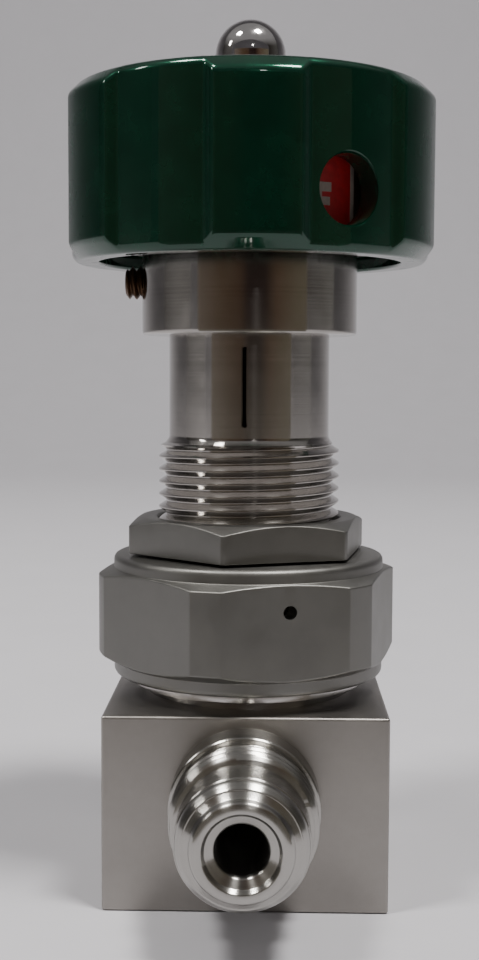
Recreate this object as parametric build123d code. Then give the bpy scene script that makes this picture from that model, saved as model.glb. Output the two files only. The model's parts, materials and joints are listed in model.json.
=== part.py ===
from build123d import *
import math
import os

os.makedirs("parts", exist_ok=True)

# Millimetres, +Z up. The origin is the bottom centre of the square body block.
# The front port points along -Y. Bearings run from -Y towards +X, in degrees.

# Body block and its threaded neck
BODY_WIDTH = 28.6
BODY_HEIGHT = 19.8
BODY_EDGE = 0.3
NECK_RELIEF_R = 11.0
NECK_RELIEF_TOP = 22.4
NECK_THREAD_R = 12.0
NECK_TOP = 27.0
NECK_EDGE = 0.5
CHAMBER_R = 7.0
CHAMBER_FLOOR = 16.0

# Flow path
PORT_Z = 11.3
PORT_BORE_R = 2.35
PASSAGE_R = 2.0
INLET_END_Y = 1.6
RISER_R = 1.5
OUTLET_START_Y = 4.2
DROP_Y = 5.2
DROP_R = 1.3

# Face-seal port fitting: protrusion is counted from the body's side
SPIGOT_R = 5.0
SPIGOT_DEPTH = 4.0
PORT_COLLAR_R = 7.45
PORT_COLLAR_LENGTH = 3.6
PORT_RELIEF_R = 6.4
PORT_THREAD_R = 7.14
PORT_THREAD_START = 4.3
PORT_THREAD_END = 8.2
PILOT_R = 6.3
PILOT_START = 8.9
NOSE_START = 12.6
NOSE_MIDDLE = (5.7, 13.7)
BEAD_FOOT = (4.7, 14.7)
BEAD_CREST = (4.05, 15.1)
BEAD_INNER = (3.45, 14.65)
MOUTH = (3.1, 14.4)
MOUTH_END = 13.65

# Seat, needle and bellows
SEAT_R = 3.0
SEAT_BOTTOM = 14.9
SEAT_TOP = 16.5
SEAT_CHAMFER = 0.5
NEEDLE_TIP_Z = 14.4
NEEDLE_TIP_R = 0.6
NEEDLE_CONE_GAP = 0.05
NEEDLE_STUB_R = 2.3
NEEDLE_SHOULDER_R = 6.0
NEEDLE_SHOULDER_BOTTOM = 16.9
NEEDLE_SHOULDER_TOP = 18.1
NEEDLE_SHAFT_R = 3.4
NEEDLE_CUP_R = 5.45
NEEDLE_CUP_BOTTOM = 30.0
NEEDLE_CUP_THREAD_R = 4.4
NEEDLE_CUP_SHOULDER = 32.8
NEEDLE_CUP_TOP = 34.6
SOCKET_R = 3.5
SOCKET_FLOOR = 32.2
BELLOWS_R = 6.0
BELLOWS_ROOT_R = 4.2
BELLOWS_FOLDS = 9
BELLOWS_WALL = 0.3
RUNNING_GAP = 0.05

# Clamped rings between body and bonnet
GASKET_OUTER_R = 9.4
GASKET_INNER_R = 7.6
GASKET_THICK = 0.5
FLANGE_RING_R = 11.6
FLANGE_RING_TOP = 29.0

# Bonnet: flange, panel thread and plain sleeve
BONNET_FLANGE_R = 11.8
BONNET_FLANGE_TOP = 31.2
BONNET_THREAD_R = 9.66
BONNET_THREAD_TOP = 46.05
SLEEVE_R = 8.53
SLEEVE_START = 46.8
SLEEVE_TOP = 63.8
BONNET_LOWER_BORE_R = 5.5
BONNET_UPPER_BORE_R = 6.4
BONNET_SHOULDER_Z = 39.5
SLOT_WIDTH = 0.62
SLOT_BOTTOM = 48.1
SLOT_TOP = 56.3
SLOT_BEARING = -2.3
KEYWAY_WIDTH = 1.6
KEYWAY_R = 7.0
KEYWAY_TOP = 34.4

# Guide pin, thrust ball and the nut that holds the stem's button
GUIDE_PIN_R = 0.75
GUIDE_PIN_Z = 31.1
GUIDE_PIN_END = 6.7
GUIDE_PIN_HEAD = -4.0
BALL_R = 1.18
RETAINER_R = 5.4
RETAINER_LIP_Z = 35.85
RETAINER_LIP_R = 2.5
RETAINER_TOP = 37.0

# Bonnet nut and panel nut
BONNET_NUT_FLATS = 29.4
BONNET_NUT_R = 16.1
BONNET_NUT_BOTTOM = 21.7
BONNET_NUT_TOP = 34.4
BONNET_NUT_SHOULDER_R = 14.45
HEX_BOTTOM = 22.8
HEX_TOP = 32.9
HEX_CHAMFER_BOTTOM = 1.2
HEX_CHAMFER_TOP = 0.9
BONNET_NUT_FLAT_BEARING = 15.9
NUT_EDGE_BOTTOM = 0.5
NUT_EDGE_TOP = 1.0
LEAK_HOLE_R = 0.7
LEAK_HOLE_Z = 30.2
LEAK_HOLE_BEARING = 17.3
THREAD_GAP = 0.05
PANEL_NUT_FLATS = 23.1
PANEL_NUT_BOTTOM = 34.7
PANEL_NUT_TOP = 38.4
PANEL_NUT_VERTEX_BEARING = -10.2
PANEL_NUT_CHAMFER = 0.8

# Drive stem, its bronze nut, bushing and wiper
STEM_R = 4.0
BUTTON_R = 3.4
BUTTON_BOTTOM = 34.62
BUTTON_TOP = 35.8
SHANK_R = 2.4
STEM_THREAD_START = 39.2
STEM_SHOULDER = 71.0
DRIVE_SQUARE = 5.4
STEM_STUD_R = 2.5
STEM_TOP = 87.5
STEM_NUT_TOP = 47.0
BUSHING_BOTTOM = 57.4
BUSHING_TOP = 62.2
WIPER_INNER_R = 4.08

# Indicator: collar, set screw, drum, labels and stop pin
COLLAR_R = 11.4
COLLAR_BOTTOM = 57.6
COLLAR_TOP = 66.6
COLLAR_EDGE = 0.3
COLLAR_GAP = 0.03
SPIGOT_RING_R = 10.0
SET_SCREW_R = 1.75
SET_SCREW_Z = 63.15
SET_SCREW_LENGTH = 4.6
SET_SCREW_EDGE = 0.35
HEX_KEY_R = 0.92
HEX_KEY_DEPTH = 1.6
DRUM_R = 14.6
DRUM_INNER_R = 13.4
DRUM_FLOOR_TOP = 68.4
DRUM_TOP = 77.2
LABEL_THICK = 0.12
LABEL_BOTTOM = 67.2
LABEL_TOP = 76.8
CLOSED_LABEL_BEARINGS = (-6.0, 44.6)
TURN_RANGE = 270.0
STOP_PIN_R = 1.0
STOP_PIN_RADIUS = 11.8
STOP_PIN_TOP = 72.6
STOP_PIN_ANGLE = 135.0
STOP_CLEARANCE = 0.5

# Knob, its insert, washer and acorn nut
KNOB_BOTTOM = 65.1
KNOB_TOP = 83.4
KNOB_PAD_R = 19.6
KNOB_WAIST_R = 18.75
KNOB_RIM_R = 18.2
KNOB_PADS = 6
PAD_BEARING = 3.0
PAD_HALF_ANGLE = 12.5
PAD_SLOPE_ANGLE = 2.5
KNOB_CAVITY_R = 15.9
KNOB_CEILING = 79.2
RECESS_R = 8.6
RECESS_FLOOR = 80.6
WINDOW_R = 3.35
WINDOW_Z = 71.04
WINDOW_BEARING = 31.5
WINDOW_BEVEL = 0.2
INSERT_BOSS_R = 7.0
INSERT_FLANGE_R = 13.1
INSERT_FLANGE_BOTTOM = 77.7
LUG_INNER_R = 10.5
LUG_BOTTOM = 69.0
WASHER_R = 5.2
WASHER_THICK = 0.8
ACORN_FLATS = 8.0
ACORN_HEX_HEIGHT = 3.4
ACORN_DOME_R = 3.7
ACORN_DOME_Z = 86.8
ACORN_CHAMFER = 0.5
ACORN_BORE_TOP = 88.0

# Shared geometry values
OVER = 1.0  # how far a cutter or a joined solid runs past the face it meets
FIT_GAP = 0.02  # radial gap of a bore round a pressed or screwed piece
HEX_HALF = 30.0  # half of the angle between two corners of a hexagon
HEX_RATIO = math.cos(math.radians(HEX_HALF))  # flat radius over corner radius of a hexagon
DIAGONAL = math.sqrt(0.5)
QUARTER = 90.0  # bearings start a quarter turn before +X

Z_ALIGN = (Align.CENTER, Align.CENTER, Align.MIN)


def rod(radius, bottom, top):
    """A round bar about the valve's axis."""
    return Pos(0, 0, bottom) * Cylinder(radius, top - bottom, align=Z_ALIGN)


def ring(outer, inner, bottom, top):
    """A plain ring about the valve's axis."""
    return rod(outer, bottom, top) - rod(inner, bottom - OVER, top + OVER)


def turned(points):
    """A solid turned about Z from a closed outline of (radius, height) points."""
    outline = make_face(Polyline(*points, close=True))
    return revolve(Plane.XZ * outline, Axis.Z)


def to_bearing(bearing):
    """The turn about Z that carries -Y to a bearing."""
    return Rot(0, 0, bearing)


def radial_rod(radius, start, end, height, bearing):
    """A round bar that runs outwards along a bearing at one height."""
    bar = Rot(90, 0, 0) * Cylinder(radius, end - start, align=Z_ALIGN)
    return to_bearing(bearing) * Pos(0, -start, height) * bar


def hexagon(flats, bottom, top, vertex_bearing):
    """A hexagonal bar with one corner on a bearing."""
    corner_r = flats / 2 / HEX_RATIO
    outline = RegularPolygon(corner_r, 6)
    bar = extrude(outline, amount=top - bottom)
    return Pos(0, 0, bottom) * Rot(0, 0, vertex_bearing - QUARTER) * bar


def sector(outer, inner, bottom, top, start, end):
    """Part of a ring between two angles counted from +X, anticlockwise from above."""
    middle = math.radians((start + end) / 2)
    first = math.radians(start)
    last = math.radians(end)

    def at(radius, angle):
        return (radius * math.cos(angle), radius * math.sin(angle))

    edges = [
        ThreePointArc(at(outer, first), at(outer, middle), at(outer, last)),
        Line(at(outer, last), at(inner, last)),
        ThreePointArc(at(inner, last), at(inner, middle), at(inner, first)),
        Line(at(inner, first), at(outer, first)),
    ]
    face = make_face(Curve() + edges)
    return Pos(0, 0, bottom) * extrude(face, amount=top - bottom)


def make_valve_body():
    """Square block, threaded neck, bellows chamber and the two flow passages."""
    block = Pos(0, 0, BODY_HEIGHT / 2) * Box(BODY_WIDTH, BODY_WIDTH, BODY_HEIGHT)
    block = chamfer(block.edges(), BODY_EDGE)
    neck = turned([
        (0, BODY_HEIGHT - OVER),
        (NECK_RELIEF_R, BODY_HEIGHT - OVER),
        (NECK_RELIEF_R, NECK_RELIEF_TOP),
        (NECK_THREAD_R, NECK_RELIEF_TOP + NECK_EDGE),
        (NECK_THREAD_R, NECK_TOP - NECK_EDGE),
        (NECK_THREAD_R - NECK_EDGE, NECK_TOP),
        (0, NECK_TOP),
    ])
    body = block + neck
    body -= rod(CHAMBER_R, CHAMBER_FLOOR, NECK_TOP + OVER)
    body -= rod(GASKET_OUTER_R, NECK_TOP - GASKET_THICK, NECK_TOP + OVER)
    body -= rod(SEAT_R, SEAT_BOTTOM, CHAMBER_FLOOR + OVER)
    body -= rod(RISER_R, PORT_Z, SEAT_BOTTOM + OVER)
    body -= Pos(0, DROP_Y, 0) * rod(DROP_R, PORT_Z, CHAMBER_FLOOR + OVER)
    side = BODY_WIDTH / 2
    body -= radial_rod(PASSAGE_R, -INLET_END_Y, side + OVER, PORT_Z, 0)
    body -= radial_rod(PASSAGE_R, OUTLET_START_Y, side + OVER, PORT_Z, 180)
    for bearing in (0, 180):
        body -= radial_rod(SPIGOT_R, side - SPIGOT_DEPTH, side + OVER, PORT_Z, bearing)
    return body


def make_fitting(bearing):
    """Male face-seal fitting: welded spigot, collar, thread, pilot, nose and sealing bead."""
    outline = [
        Polyline(
            BEAD_INNER,
            MOUTH,
            (PORT_BORE_R, MOUTH_END),
            (PORT_BORE_R, -SPIGOT_DEPTH),
            (SPIGOT_R, -SPIGOT_DEPTH),
            (SPIGOT_R, 0),
            (PORT_COLLAR_R, 0),
            (PORT_COLLAR_R, PORT_COLLAR_LENGTH),
            (PORT_RELIEF_R, PORT_COLLAR_LENGTH),
            (PORT_THREAD_R, PORT_THREAD_START),
            (PORT_THREAD_R, PORT_THREAD_END),
            (PILOT_R, PILOT_START),
            (PILOT_R, NOSE_START),
        ),
        ThreePointArc((PILOT_R, NOSE_START), NOSE_MIDDLE, BEAD_FOOT),
        ThreePointArc(BEAD_FOOT, BEAD_CREST, BEAD_INNER),
    ]
    face = make_face(Curve() + outline)
    fitting = revolve(Plane.XZ * face, Axis.Z)
    return to_bearing(bearing) * Pos(0, -BODY_WIDTH / 2, PORT_Z) * Rot(90, 0, 0) * fitting


def make_seat_insert():
    """Polymer seat ring pressed into the chamber floor."""
    return turned([
        (RISER_R, SEAT_BOTTOM),
        (SEAT_R, SEAT_BOTTOM),
        (SEAT_R, SEAT_TOP),
        (RISER_R + SEAT_CHAMFER, SEAT_TOP),
        (RISER_R, SEAT_TOP - SEAT_CHAMFER),
    ])


def make_needle():
    """Needle with a cone tip, bellows shoulder, guided shaft and the cup for the stem."""
    cone_r = RISER_R - NEEDLE_CONE_GAP
    needle = turned([
        (0, NEEDLE_TIP_Z),
        (NEEDLE_TIP_R, NEEDLE_TIP_Z),
        (cone_r, SEAT_TOP - SEAT_CHAMFER),
        (cone_r + SEAT_CHAMFER, SEAT_TOP),
        (NEEDLE_STUB_R, NEEDLE_SHOULDER_BOTTOM),
        (NEEDLE_SHOULDER_R, NEEDLE_SHOULDER_BOTTOM),
        (NEEDLE_SHOULDER_R, NEEDLE_SHOULDER_TOP),
        (NEEDLE_SHAFT_R, NEEDLE_SHOULDER_TOP),
        (NEEDLE_SHAFT_R, NEEDLE_CUP_BOTTOM),
        (NEEDLE_CUP_R, NEEDLE_CUP_BOTTOM),
        (NEEDLE_CUP_R, NEEDLE_CUP_SHOULDER),
        (NEEDLE_CUP_THREAD_R, NEEDLE_CUP_SHOULDER),
        (NEEDLE_CUP_THREAD_R, NEEDLE_CUP_TOP),
        (SOCKET_R, NEEDLE_CUP_TOP),
        (SOCKET_R, SOCKET_FLOOR),
        (0, SOCKET_FLOOR),
    ])
    return needle - radial_rod(GUIDE_PIN_R, GUIDE_PIN_HEAD, GUIDE_PIN_END, GUIDE_PIN_Z, 90)


def make_bellows():
    """Welded bellows: a thin folded tube between the needle's shoulder and the flange ring."""
    bottom = NEEDLE_SHOULDER_TOP
    top = NECK_TOP - RUNNING_GAP
    step = (top - bottom - BELLOWS_WALL) / (2 * BELLOWS_FOLDS)
    outer = []
    for index in range(2 * BELLOWS_FOLDS + 1):
        radius = BELLOWS_ROOT_R + BELLOWS_WALL if index % 2 == 0 else BELLOWS_R
        outer.append((radius, bottom + BELLOWS_WALL / 2 + index * step))
    inner = [(radius - BELLOWS_WALL, height) for radius, height in reversed(outer)]
    ends_low = [(outer[0][0] - BELLOWS_WALL, bottom), (outer[0][0], bottom)]
    ends_high = [(outer[-1][0], top), (outer[-1][0] - BELLOWS_WALL, top)]
    return turned(ends_low + outer + ends_high + inner)


def make_bellows_flange():
    """Ring that closes the bellows and is clamped between body and bonnet."""
    return ring(FLANGE_RING_R, NEEDLE_SHAFT_R + RUNNING_GAP, NECK_TOP, FLANGE_RING_TOP)


def make_body_gasket():
    """Flat metal gasket in the recess on top of the neck."""
    return ring(GASKET_OUTER_R, GASKET_INNER_R, NECK_TOP - GASKET_THICK, NECK_TOP)


def make_bonnet():
    """Clamped flange, panel-mounting thread and polished sleeve with its narrow slot."""
    bonnet = turned([
        (BONNET_LOWER_BORE_R, FLANGE_RING_TOP),
        (BONNET_FLANGE_R, FLANGE_RING_TOP),
        (BONNET_FLANGE_R, BONNET_FLANGE_TOP),
        (BONNET_THREAD_R, BONNET_FLANGE_TOP),
        (BONNET_THREAD_R, BONNET_THREAD_TOP),
        (SLEEVE_R, SLEEVE_START),
        (SLEEVE_R, SLEEVE_TOP),
        (BONNET_UPPER_BORE_R, SLEEVE_TOP),
        (BONNET_UPPER_BORE_R, BONNET_SHOULDER_Z),
        (BONNET_LOWER_BORE_R, BONNET_SHOULDER_Z),
    ])
    cutter = SlotOverall(SLOT_TOP - SLOT_BOTTOM, SLOT_WIDTH, rotation=90)
    cutter = extrude(Plane.XZ * cutter, amount=SLEEVE_R + OVER)
    slot_middle = (SLOT_TOP + SLOT_BOTTOM) / 2
    bonnet -= to_bearing(SLOT_BEARING) * Pos(0, 0, slot_middle) * cutter
    keyway_height = KEYWAY_TOP - FLANGE_RING_TOP
    keyway = Box(KEYWAY_R, KEYWAY_WIDTH, keyway_height, align=(Align.MIN, Align.CENTER, Align.MIN))
    return bonnet - Pos(0, 0, FLANGE_RING_TOP) * keyway


def make_bonnet_nut():
    """Union nut: hexagon with turned corners between two round shoulders."""
    solid = turned([
        (0, BONNET_NUT_BOTTOM),
        (BONNET_NUT_SHOULDER_R - NUT_EDGE_BOTTOM, BONNET_NUT_BOTTOM),
        (BONNET_NUT_SHOULDER_R, BONNET_NUT_BOTTOM + NUT_EDGE_BOTTOM),
        (BONNET_NUT_SHOULDER_R, HEX_BOTTOM),
        (BONNET_NUT_R, HEX_BOTTOM + HEX_CHAMFER_BOTTOM),
        (BONNET_NUT_R, HEX_TOP - HEX_CHAMFER_TOP),
        (BONNET_NUT_SHOULDER_R, HEX_TOP),
        (BONNET_NUT_SHOULDER_R, BONNET_NUT_TOP - NUT_EDGE_TOP),
        (BONNET_NUT_SHOULDER_R - NUT_EDGE_TOP, BONNET_NUT_TOP),
        (0, BONNET_NUT_TOP),
    ])
    vertex = BONNET_NUT_FLAT_BEARING - HEX_HALF
    nut = solid & hexagon(BONNET_NUT_FLATS, BONNET_NUT_BOTTOM, BONNET_NUT_TOP, vertex)
    nut -= rod(NECK_THREAD_R + THREAD_GAP, BONNET_NUT_BOTTOM - OVER, BONNET_FLANGE_TOP)
    nut -= rod(BONNET_THREAD_R + THREAD_GAP, BONNET_NUT_BOTTOM - OVER, BONNET_NUT_TOP + OVER)
    return nut - radial_rod(LEAK_HOLE_R, BONNET_FLANGE_R, BONNET_NUT_R, LEAK_HOLE_Z, LEAK_HOLE_BEARING)


def make_panel_nut():
    """Thin hexagon nut on the bonnet's thread, with both faces chamfered."""
    corner_r = PANEL_NUT_FLATS / 2 / HEX_RATIO
    face_r = PANEL_NUT_FLATS / 2
    solid = turned([
        (0, PANEL_NUT_BOTTOM),
        (face_r, PANEL_NUT_BOTTOM),
        (corner_r, PANEL_NUT_BOTTOM + PANEL_NUT_CHAMFER),
        (corner_r, PANEL_NUT_TOP - PANEL_NUT_CHAMFER),
        (face_r, PANEL_NUT_TOP),
        (0, PANEL_NUT_TOP),
    ])
    nut = solid & hexagon(PANEL_NUT_FLATS, PANEL_NUT_BOTTOM, PANEL_NUT_TOP, PANEL_NUT_VERTEX_BEARING)
    return nut - rod(BONNET_THREAD_R + THREAD_GAP, PANEL_NUT_BOTTOM - OVER, PANEL_NUT_TOP + OVER)


def make_guide_pin():
    """Cross pin that keeps the needle from turning; it slides in the bonnet's keyway."""
    return radial_rod(GUIDE_PIN_R, GUIDE_PIN_HEAD, GUIDE_PIN_END, GUIDE_PIN_Z, 90)


def make_thrust_ball():
    """Ball between the turning stem and the needle."""
    return Pos(0, 0, SOCKET_FLOOR + BALL_R) * Sphere(BALL_R)


def make_retaining_nut():
    """Screwed cap that holds the stem's button in the needle's cup."""
    return turned([
        (NEEDLE_CUP_THREAD_R, NEEDLE_CUP_SHOULDER),
        (RETAINER_R, NEEDLE_CUP_SHOULDER),
        (RETAINER_R, RETAINER_TOP),
        (RETAINER_LIP_R, RETAINER_TOP),
        (RETAINER_LIP_R, RETAINER_LIP_Z),
        (SOCKET_R, RETAINER_LIP_Z),
        (SOCKET_R, NEEDLE_CUP_TOP),
        (NEEDLE_CUP_THREAD_R, NEEDLE_CUP_TOP),
    ])


def make_drive_stem():
    """Turning stem: button, shank, drive thread, plain shaft, square and top stud."""
    stem = rod(BUTTON_R, BUTTON_BOTTOM, BUTTON_TOP)
    stem += rod(SHANK_R, BUTTON_BOTTOM, STEM_THREAD_START + OVER)
    stem += rod(STEM_R, STEM_THREAD_START, STEM_SHOULDER)
    square_height = RECESS_FLOOR - STEM_SHOULDER
    stem += Pos(0, 0, STEM_SHOULDER) * Box(DRIVE_SQUARE, DRIVE_SQUARE, square_height, align=Z_ALIGN)
    return stem + rod(STEM_STUD_R, RECESS_FLOOR - OVER, STEM_TOP)


def make_stem_nut():
    """Bronze nut fixed in the bonnet, in which the drive stem screws."""
    return ring(BONNET_UPPER_BORE_R, STEM_R + RUNNING_GAP, BONNET_SHOULDER_Z, STEM_NUT_TOP)


def make_stem_bushing():
    """Upper bearing of the drive stem in the sleeve."""
    return ring(BONNET_UPPER_BORE_R, STEM_R + RUNNING_GAP, BUSHING_BOTTOM, BUSHING_TOP)


def make_wiper_ring():
    """Rubber ring above the bushing that keeps dirt out of the sleeve."""
    section_r = (BONNET_UPPER_BORE_R - WIPER_INNER_R) / 2
    height = BUSHING_TOP + section_r
    middle = DIAGONAL * section_r
    centre = WIPER_INNER_R + section_r
    points = [
        (centre - section_r, height),
        (centre - middle, height - middle),
        (centre, height - section_r),
        (centre + middle, height - middle),
        (centre + section_r, height),
        (centre + middle, height + middle),
        (centre, height + section_r),
        (centre - middle, height + middle),
    ]
    return turned(points)


def make_collar():
    """Polished collar clamped on the sleeve, with a spigot that carries the drum."""
    bore_r = SLEEVE_R + COLLAR_GAP
    collar = turned([
        (bore_r, COLLAR_BOTTOM),
        (COLLAR_R - COLLAR_EDGE, COLLAR_BOTTOM),
        (COLLAR_R, COLLAR_BOTTOM + COLLAR_EDGE),
        (COLLAR_R, COLLAR_TOP),
        (SPIGOT_RING_R, COLLAR_TOP),
        (SPIGOT_RING_R, DRUM_FLOOR_TOP),
        (bore_r, DRUM_FLOOR_TOP),
    ])
    return collar - radial_rod(SET_SCREW_R + FIT_GAP, SLEEVE_R - OVER, COLLAR_R + OVER, SET_SCREW_Z, -90)


def make_set_screw():
    """Headless screw that clamps the collar, with a hexagon socket in its outer end."""
    start = SLEEVE_R + COLLAR_GAP
    screw = turned([
        (0, 0),
        (SET_SCREW_R - SET_SCREW_EDGE, 0),
        (SET_SCREW_R, SET_SCREW_EDGE),
        (SET_SCREW_R, SET_SCREW_LENGTH - SET_SCREW_EDGE),
        (SET_SCREW_R - SET_SCREW_EDGE, SET_SCREW_LENGTH),
        (0, SET_SCREW_LENGTH),
    ])
    socket = extrude(RegularPolygon(HEX_KEY_R, 6), amount=HEX_KEY_DEPTH)
    screw -= Pos(0, 0, SET_SCREW_LENGTH - HEX_KEY_DEPTH) * socket
    return Pos(-start, 0, SET_SCREW_Z) * Rot(0, -90, 0) * screw


def stop_pin_rod(bottom, top):
    """A round bar where the stop pin stands."""
    angle = math.radians(STOP_PIN_ANGLE)
    place = Pos(STOP_PIN_RADIUS * math.cos(angle), STOP_PIN_RADIUS * math.sin(angle), 0)
    return place * rod(STOP_PIN_R, bottom, top)


def make_indicator_drum():
    """Fixed cup inside the knob that carries the two position labels."""
    drum = turned([
        (SPIGOT_RING_R, COLLAR_TOP),
        (DRUM_R, COLLAR_TOP),
        (DRUM_R, DRUM_TOP),
        (DRUM_INNER_R, DRUM_TOP),
        (DRUM_INNER_R, DRUM_FLOOR_TOP),
        (SPIGOT_RING_R, DRUM_FLOOR_TOP),
    ])
    return drum - stop_pin_rod(COLLAR_TOP - OVER, DRUM_FLOOR_TOP + OVER)


def make_label(first_bearing, last_bearing):
    """Thin label wrapped on part of the drum."""
    start = first_bearing - QUARTER
    end = last_bearing - QUARTER
    return sector(DRUM_R + LABEL_THICK, DRUM_R, LABEL_BOTTOM, LABEL_TOP, start, end)


def make_stop_pin():
    """Upright pin in the drum's floor that the insert's lug meets at both ends of the turn."""
    return stop_pin_rod(COLLAR_TOP, STOP_PIN_TOP)


def knob_outline():
    """Plan outline of the knob: raised pads joined by a wider, lower waist."""
    def at(radius, bearing):
        angle = math.radians(bearing - QUARTER)
        return (radius * math.cos(angle), radius * math.sin(angle))

    spacing = 360 / KNOB_PADS
    foot = PAD_HALF_ANGLE + PAD_SLOPE_ANGLE
    edges = []
    for index in range(KNOB_PADS):
        centre = PAD_BEARING + index * spacing
        pad_first = at(KNOB_PAD_R, centre - PAD_HALF_ANGLE)
        pad_last = at(KNOB_PAD_R, centre + PAD_HALF_ANGLE)
        waist_first = at(KNOB_WAIST_R, centre + foot)
        waist_last = at(KNOB_WAIST_R, centre + spacing - foot)
        next_pad = at(KNOB_PAD_R, centre + spacing - PAD_HALF_ANGLE)
        edges.append(ThreePointArc(pad_first, at(KNOB_PAD_R, centre), pad_last))
        edges.append(Line(pad_last, waist_first))
        edges.append(ThreePointArc(waist_first, at(KNOB_WAIST_R, centre + spacing / 2), waist_last))
        edges.append(Line(waist_last, next_pad))
    return make_face(Curve() + edges)


def make_knob():
    """Round handwheel knob with six pads, an indicator window and an open cavity below."""
    bar = Pos(0, 0, KNOB_BOTTOM) * extrude(knob_outline(), amount=KNOB_TOP - KNOB_BOTTOM)
    rim_chamfer = KNOB_PAD_R - KNOB_RIM_R
    envelope = turned([
        (0, KNOB_BOTTOM),
        (KNOB_RIM_R, KNOB_BOTTOM),
        (KNOB_PAD_R + OVER, KNOB_BOTTOM + rim_chamfer + OVER),
        (KNOB_PAD_R + OVER, KNOB_TOP - rim_chamfer - OVER),
        (KNOB_RIM_R, KNOB_TOP),
        (0, KNOB_TOP),
    ])
    knob = bar & envelope
    knob -= rod(KNOB_CAVITY_R, KNOB_BOTTOM - OVER, KNOB_CEILING)
    knob -= rod(RECESS_R, RECESS_FLOOR, KNOB_TOP + OVER)
    knob -= rod(INSERT_BOSS_R + FIT_GAP, KNOB_CEILING - OVER, RECESS_FLOOR + OVER)
    knob -= radial_rod(WINDOW_R, DRUM_R, KNOB_PAD_R, WINDOW_Z, WINDOW_BEARING)
    bevel = Cone(WINDOW_R, WINDOW_R + 2 * WINDOW_BEVEL, 2 * WINDOW_BEVEL, align=Z_ALIGN)
    bevel = Pos(0, -(KNOB_WAIST_R - WINDOW_BEVEL), WINDOW_Z) * Rot(90, 0, 0) * bevel
    return knob - to_bearing(WINDOW_BEARING) * bevel


def make_knob_insert():
    """Steel insert: square-bored boss, flange under the knob's web and the stop lug."""
    insert = rod(INSERT_BOSS_R, STEM_SHOULDER, RECESS_FLOOR)
    insert += rod(INSERT_FLANGE_R, INSERT_FLANGE_BOTTOM, KNOB_CEILING)
    pin_half_angle = math.degrees(math.asin(STOP_PIN_R / STOP_PIN_RADIUS))
    lug_start = STOP_PIN_ANGLE + pin_half_angle + STOP_CLEARANCE
    lug_end = STOP_PIN_ANGLE + 360 - TURN_RANGE - pin_half_angle - STOP_CLEARANCE
    insert += sector(INSERT_FLANGE_R, LUG_INNER_R, LUG_BOTTOM, KNOB_CEILING, lug_start, lug_end)
    bore = Box(DRIVE_SQUARE, DRIVE_SQUARE, RECESS_FLOOR - STEM_SHOULDER + 2 * OVER, align=Z_ALIGN)
    return insert - Pos(0, 0, STEM_SHOULDER - OVER) * bore


def make_knob_washer():
    """Plain washer under the acorn nut."""
    return ring(WASHER_R, STEM_STUD_R + THREAD_GAP, RECESS_FLOOR, RECESS_FLOOR + WASHER_THICK)


def make_acorn_nut():
    """Domed nut that holds the knob on the stem."""
    base = RECESS_FLOOR + WASHER_THICK
    hex_top = base + ACORN_HEX_HEIGHT
    corner_r = ACORN_FLATS / 2 / HEX_RATIO
    body = hexagon(ACORN_FLATS, base, hex_top, 0)
    body &= turned([
        (0, base),
        (corner_r, base),
        (corner_r, hex_top - ACORN_CHAMFER),
        (ACORN_FLATS / 2 - ACORN_CHAMFER / 2, hex_top),
        (0, hex_top),
    ])
    body += rod(ACORN_DOME_R, base + OVER, ACORN_DOME_Z)
    body += Pos(0, 0, ACORN_DOME_Z) * Sphere(ACORN_DOME_R)
    return body - rod(STEM_STUD_R + THREAD_GAP, base - OVER, ACORN_BORE_TOP)


OPEN_LABEL_BEARINGS = [bearing + TURN_RANGE for bearing in CLOSED_LABEL_BEARINGS]

NODES = {
    "valve_body": make_valve_body(),
    "inlet_fitting": make_fitting(0),
    "outlet_fitting": make_fitting(180),
    "seat_insert": make_seat_insert(),
    "needle": make_needle(),
    "bellows": make_bellows(),
    "bellows_flange": make_bellows_flange(),
    "body_gasket": make_body_gasket(),
    "bonnet": make_bonnet(),
    "bonnet_nut": make_bonnet_nut(),
    "panel_nut": make_panel_nut(),
    "guide_pin": make_guide_pin(),
    "thrust_ball": make_thrust_ball(),
    "retaining_nut": make_retaining_nut(),
    "drive_stem": make_drive_stem(),
    "stem_nut": make_stem_nut(),
    "stem_bushing": make_stem_bushing(),
    "wiper_ring": make_wiper_ring(),
    "collar": make_collar(),
    "set_screw": make_set_screw(),
    "indicator_drum": make_indicator_drum(),
    "closed_label": make_label(*CLOSED_LABEL_BEARINGS),
    "open_label": make_label(*OPEN_LABEL_BEARINGS),
    "stop_pin": make_stop_pin(),
    "knob": make_knob(),
    "knob_insert": make_knob_insert(),
    "knob_washer": make_knob_washer(),
    "acorn_nut": make_acorn_nut(),
}

for name, solid in NODES.items():
    export_step(solid, f"parts/{name}.step")
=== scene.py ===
import json
import math

import bmesh
import bpy
from mathutils import Matrix, Vector


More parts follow.
